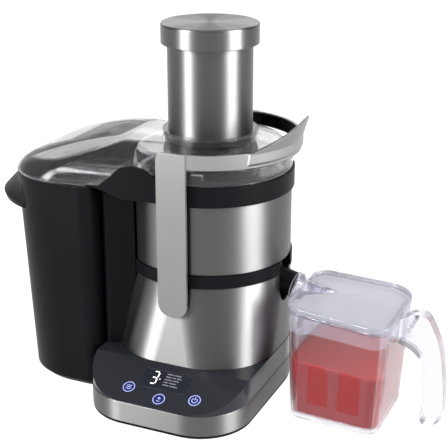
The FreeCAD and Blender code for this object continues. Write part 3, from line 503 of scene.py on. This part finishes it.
def make_jug():
    """Jug with the notch for the inlet, its lid with the inlet's hole, and the juice in it."""
    wall = [(4.2, 0, 0), (3.4, 0, 1.6), (0, 4.6, 3), (0, JUG_TOP, 0.9), (JUG_WALL, JUG_TOP, 0.9),
            (JUG_WALL, 7.6, 3), (JUG_WALL + 3.4, JUG_FLOOR, 1.6), (JUG_WALL + 4.4, JUG_FLOOR, 0)]
    jug = make_piece("jug_body", [(swept(jug_plan, wall, False), "capped")], "jug",
                     "clear_jug", ["jug"])
    angle = np.linspace(0, 2 * math.pi, NOTCH_STEPS, endpoint=False)
    both_ends = np.zeros((2, 1))
    notch = np.stack([np.array([[100.0], [125.0]]) + 0 * angle,
                      NOTCH_RADIUS * np.cos(angle) + both_ends,
                      JUG_TOP + NOTCH_RADIUS * np.sin(angle) + both_ends], -1)
    carve(jug, notch)
    lid = [(8, 118.2, 0), (6.2, 118.2, 0.3), (6.2, 113, 0.5), (4.6, 113, 0.5), (4.6, 118.2, 0.3),
           (-0.8, 118.2, 1), (-0.8, 124, 1.1), (1.4, 124, 0.7), (1.4, 121, 0.9), (3, 121, 0)]
    cover = make_piece("jug_cover_plate", [(swept(rim_plan, lid, False), "capped")], "jug_cover",
                       "clear_cover", ["jug_lid"])
    carve(cover, inlet_cutter())
    clearance = 0.4
    side = JUG_WALL + clearance
    fill = [(JUG_WALL + 5, 3.5, 0), (side + 3.4, 3.5, 1.6), (side, 7.8, 3),
            (side, JUICE_TOP, 0.5), (JUG_WALL + 4, JUICE_TOP, 0)]
    make_piece("juice_fill", [(swept(jug_plan, fill, False), "capped")], "jug",
               "juice")


def bulged(points):
    """Outline through points (x, z), with an arc of the third item's radius to the next point:
    positive bulges out of an anticlockwise outline, negative into it."""
    steps = 14
    spans = []
    for index, point in enumerate(points):
        start = np.array(point[:2], float)
        stop = np.array(points[(index + 1) % len(points)][:2], float)
        if len(point) == 2:
            spans.append(start[None])
            continue
        chord = stop - start
        side = np.array((-chord[1], chord[0])) / np.linalg.norm(chord) * math.copysign(1, point[2])
        rise = math.sqrt(max(point[2] ** 2 - chord @ chord / 4, 0))
        spans.append(arc_between(start, stop, (start + stop) / 2 + side * rise, steps)[:-1])
    return np.concatenate(spans)


def make_handle():
    """Grip bar: its side outline carried across, drawn in at both faces to round the edges."""
    grip = bulged([(226.4, 117.2), (225.1, 91), (232, 88.5, -28), (252.5, 60), (253.6, 36),
                   (252, 12, 8), (258, 2.6), (266, 4.4, 12), (276, 18, 260), (273, 71, 110),
                   (256.5, 121, 14), (246, 126.3), (238, 125.2), (232.4, 121.4),
                   (229.2, 118.8)])
    along = np.roll(grip, -1, 0) - np.roll(grip, 1, 0)
    outward = np.column_stack([along[:, 1], -along[:, 0]]) / np.linalg.norm(along, axis=1)[:, None]
    rows = []
    edges = [(2.4, -33, 0), (0.05, -33, 1.8), (0.05, -15, 1.8), (2.4, -15, 0)]
    for inset, depth in softened(edges, False):
        spot = grip - outward * inset
        rows.append(np.column_stack([spot[:, 0], np.full(len(spot), depth), spot[:, 1]]))
    make_piece("jug_grip", [(np.array(rows), "capped")], "jug", "clear_jug",
               ["jug_handle"])


# ---- panel marks ------------------------------------------------------------------------

PANEL_LOW, PANEL_HIGH, PANEL_BACK = 27, 52, 102.6
PANEL_AT = np.array((0, -BASE_FRONT, PANEL_LOW), float)
PANEL_RUN, PANEL_RISE = BASE_FRONT - PANEL_BACK, PANEL_HIGH - PANEL_LOW
PRINT_TOP, PRINT_UNDER = 0.07, 0.01  # both faces of the print, off the panel
KEYS = {"speed": (-32.7, 20.6), "adjust": (5.6, 13.6), "power": (43.5, 21.3)}
KEY_RING, KEY_LINE = 6.2, 0.9


def on_panel(across, up, lift):
    """Places on the sloping panel: across it, up its slope and off its surface."""
    length = math.hypot(PANEL_RUN, PANEL_RISE)
    slope = np.array((0, PANEL_RUN, PANEL_RISE)) / length
    off = np.array((0, -PANEL_RISE, PANEL_RUN)) / length
    sideways = np.array((1, 0, 0))
    return (PANEL_AT + across[..., None] * sideways + up[..., None] * slope
            + lift[..., None] * off)


def stroke(path, width, closed=False):
    """Printed line: a rectangle of the line's width and a hair's thickness carried along a path."""
    path = np.array(path, float)
    along = np.roll(path, -1, 0) - np.roll(path, 1, 0) if closed else np.gradient(path, axis=0)
    length = np.linalg.norm(along, axis=1)[:, None]
    side = np.column_stack([-along[:, 1], along[:, 0]]) / length * width / 2
    left, right = path + side, path - side
    across, up = (np.column_stack([left[:, axis], right[:, axis], right[:, axis], left[:, axis]])
                  for axis in range(2))
    lift = np.tile([PRINT_TOP, PRINT_TOP, PRINT_UNDER, PRINT_UNDER], (len(path), 1))
    return on_panel(across, up, lift), "loop" if closed else "capped"


def ring(centre, radius, width, start=0.0, stop=360.0):
    """Printed ring, or the part of it from start to stop in degrees."""
    whole = stop - start == 360
    angle = np.radians(np.linspace(start, stop, 48, endpoint=not whole))
    path = np.column_stack([centre[0] + radius * np.cos(angle),
                            centre[1] + radius * np.sin(angle)])
    return stroke(path, width, whole)


def bar(centre, low, high, width):
    """Straight printed line between two points given from a centre."""
    path = [(centre[0] + end[0], centre[1] + end[1]) for end in (low, high)]
    return stroke(path, width)


def make_marks():
    """Lit digit, the printed scale beside it and the signs on the three touch keys."""
    left, right, low, middle, high = -13.4, -7.2, 31, 38.8, 46.6
    segments = [((left, high), (right, high)), ((right, high), (right, middle)),
                ((left, middle), (right, middle)), ((right, middle), (right, low)),
                ((left, low), (right, low))]
    gap, digit_line = 0.9, 1.35
    strokes = []
    for start, stop in segments:
        start, stop = np.array(start, float), np.array(stop, float)
        step = (stop - start) / np.linalg.norm(stop - start) * gap
        strokes.append(stroke([start + step, stop - step], digit_line))
    strokes.append(stroke([(-4.4, 37.9), (-3.3, 37.9)], 1.1))
    make_piece("speed_digit", strokes, "housing", "digit_light")
    rows, scale_top, line_step, scale_left, scale_line = [], 46.2, 3.6, 1.5, 1.3
    for line, words in enumerate(((7, 8), (6, 4, 5), (8, 7), (5, 8), (7, 9))):
        spot, up = scale_left, scale_top - line_step * line
        for word in words:
            rows.append(stroke([(spot, up), (spot + word, up)], scale_line))
            spot += word + scale_line
    make_piece("speed_scale", rows, "housing", "scale_print")
    for label, centre in KEYS.items():
        signs = [ring(centre, KEY_RING, KEY_LINE)]
        if label == "power":
            signs += [ring(centre, 2.9, KEY_LINE, 125, 415),
                      bar(centre, (0, 0.4), (0, 3.9), KEY_LINE)]
        elif label == "adjust":
            signs += [bar(centre, (-1.9, 1.1), (1.9, 1.1), KEY_LINE),
                      bar(centre, (0, -0.7), (0, 2.9), KEY_LINE),
                      bar(centre, (-1.9, -2.6), (1.9, -2.6), KEY_LINE)]
        else:
            signs += [bar(centre, (-2.9, step), (2.9, step), 0.8) for step in (-2.2, -0.1, 2.0)]
        make_piece(f"{label}_sign", signs, "housing", "key_light")


make_steel()
make_jug()
make_handle()
make_marks()

# ---- stage ------------------------------------------------------------------------------

TARGET = Vector((0.01575, 0, 0.1791))
VIEW_SIDE, VIEW_RISE, VIEW_DISTANCE = 24, 20.3, 1.23375  # degrees, degrees, metres
LENS = 90.40178571
LIGHTS_MEET_AT = (TARGET.x, TARGET.y, 0.2)
FLOOR_REACH, WORLD_STRENGTH = 40, 0.16


def aim(thing, place, target):
    thing.location = place
    thing.rotation_euler = (Vector(target) - Vector(place)).to_track_quat("-Z", "Y").to_euler()


def around(azimuth, elevation, distance):
    """A place seen from the target, in degrees: azimuth 0 is in front, positive towards +X."""
    azimuth, elevation = math.radians(azimuth), math.radians(elevation)
    level = distance * math.cos(elevation)
    return Vector((math.sin(azimuth) * level, -math.cos(azimuth) * level,
                   distance * math.sin(elevation))) + TARGET


def add_camera():
    data = bpy.data.cameras.new("camera")
    data.lens = LENS
    camera = bpy.data.objects.new("camera", data)
    bpy.context.collection.objects.link(camera)
    aim(camera, around(VIEW_SIDE, VIEW_RISE, VIEW_DISTANCE), TARGET)
    bpy.context.scene.camera = camera


def add_light(name, azimuth, elevation, distance, wide, high, power):
    data = bpy.data.lights.new(name, "AREA")
    data.shape, data.size, data.size_y, data.energy = "RECTANGLE", wide, high, power
    light = bpy.data.objects.new(name, data)
    bpy.context.collection.objects.link(light)
    aim(light, around(azimuth, elevation, distance), LIGHTS_MEET_AT)


def add_stage():
    """A wide pale floor that is partly lit by itself, and a dim white world."""
    mesh = bpy.data.meshes.new("floor")
    corners = [(across * FLOOR_REACH, deep * FLOOR_REACH, 0)
               for across, deep in ((-1, -1), (1, -1), (1, 1), (-1, 1))]
    mesh.from_pydata(corners, [], [(0, 1, 2, 3)])
    floor = bpy.data.objects.new("floor", mesh)
    bpy.context.collection.objects.link(floor)
    paint = Paint("pale_floor", (0.10, 0.10, 0.10), 0.8, emission_strength=1.0,
                  specular_ior_level=0.0)
    paint.set("Emission Color", (1, 1, 1, 1))
    mesh.materials.append(paint.material)
    world = bpy.data.worlds.new("studio")
    bpy.context.scene.world = world
    world.use_nodes = True
    background = world.node_tree.nodes["Background"]
    background.inputs["Color"].default_value = (1, 1, 1, 1)
    background.inputs["Strength"].default_value = WORLD_STRENGTH
    bpy.context.scene.view_settings.view_transform = "Standard"


add_camera()
add_stage()
add_light("right_strip", VIEW_SIDE + 60, 14, 2.0, 1.0, 2.2, 142)
add_light("left_strip", VIEW_SIDE - 60, 14, 2.0, 0.62, 2.2, 118)
add_light("overhead", VIEW_SIDE, 75, 2.2, 2.0, 2.0, 14)
add_light("back_panel", VIEW_SIDE + 180, 30, 2.2, 2.6, 1.1, 19)
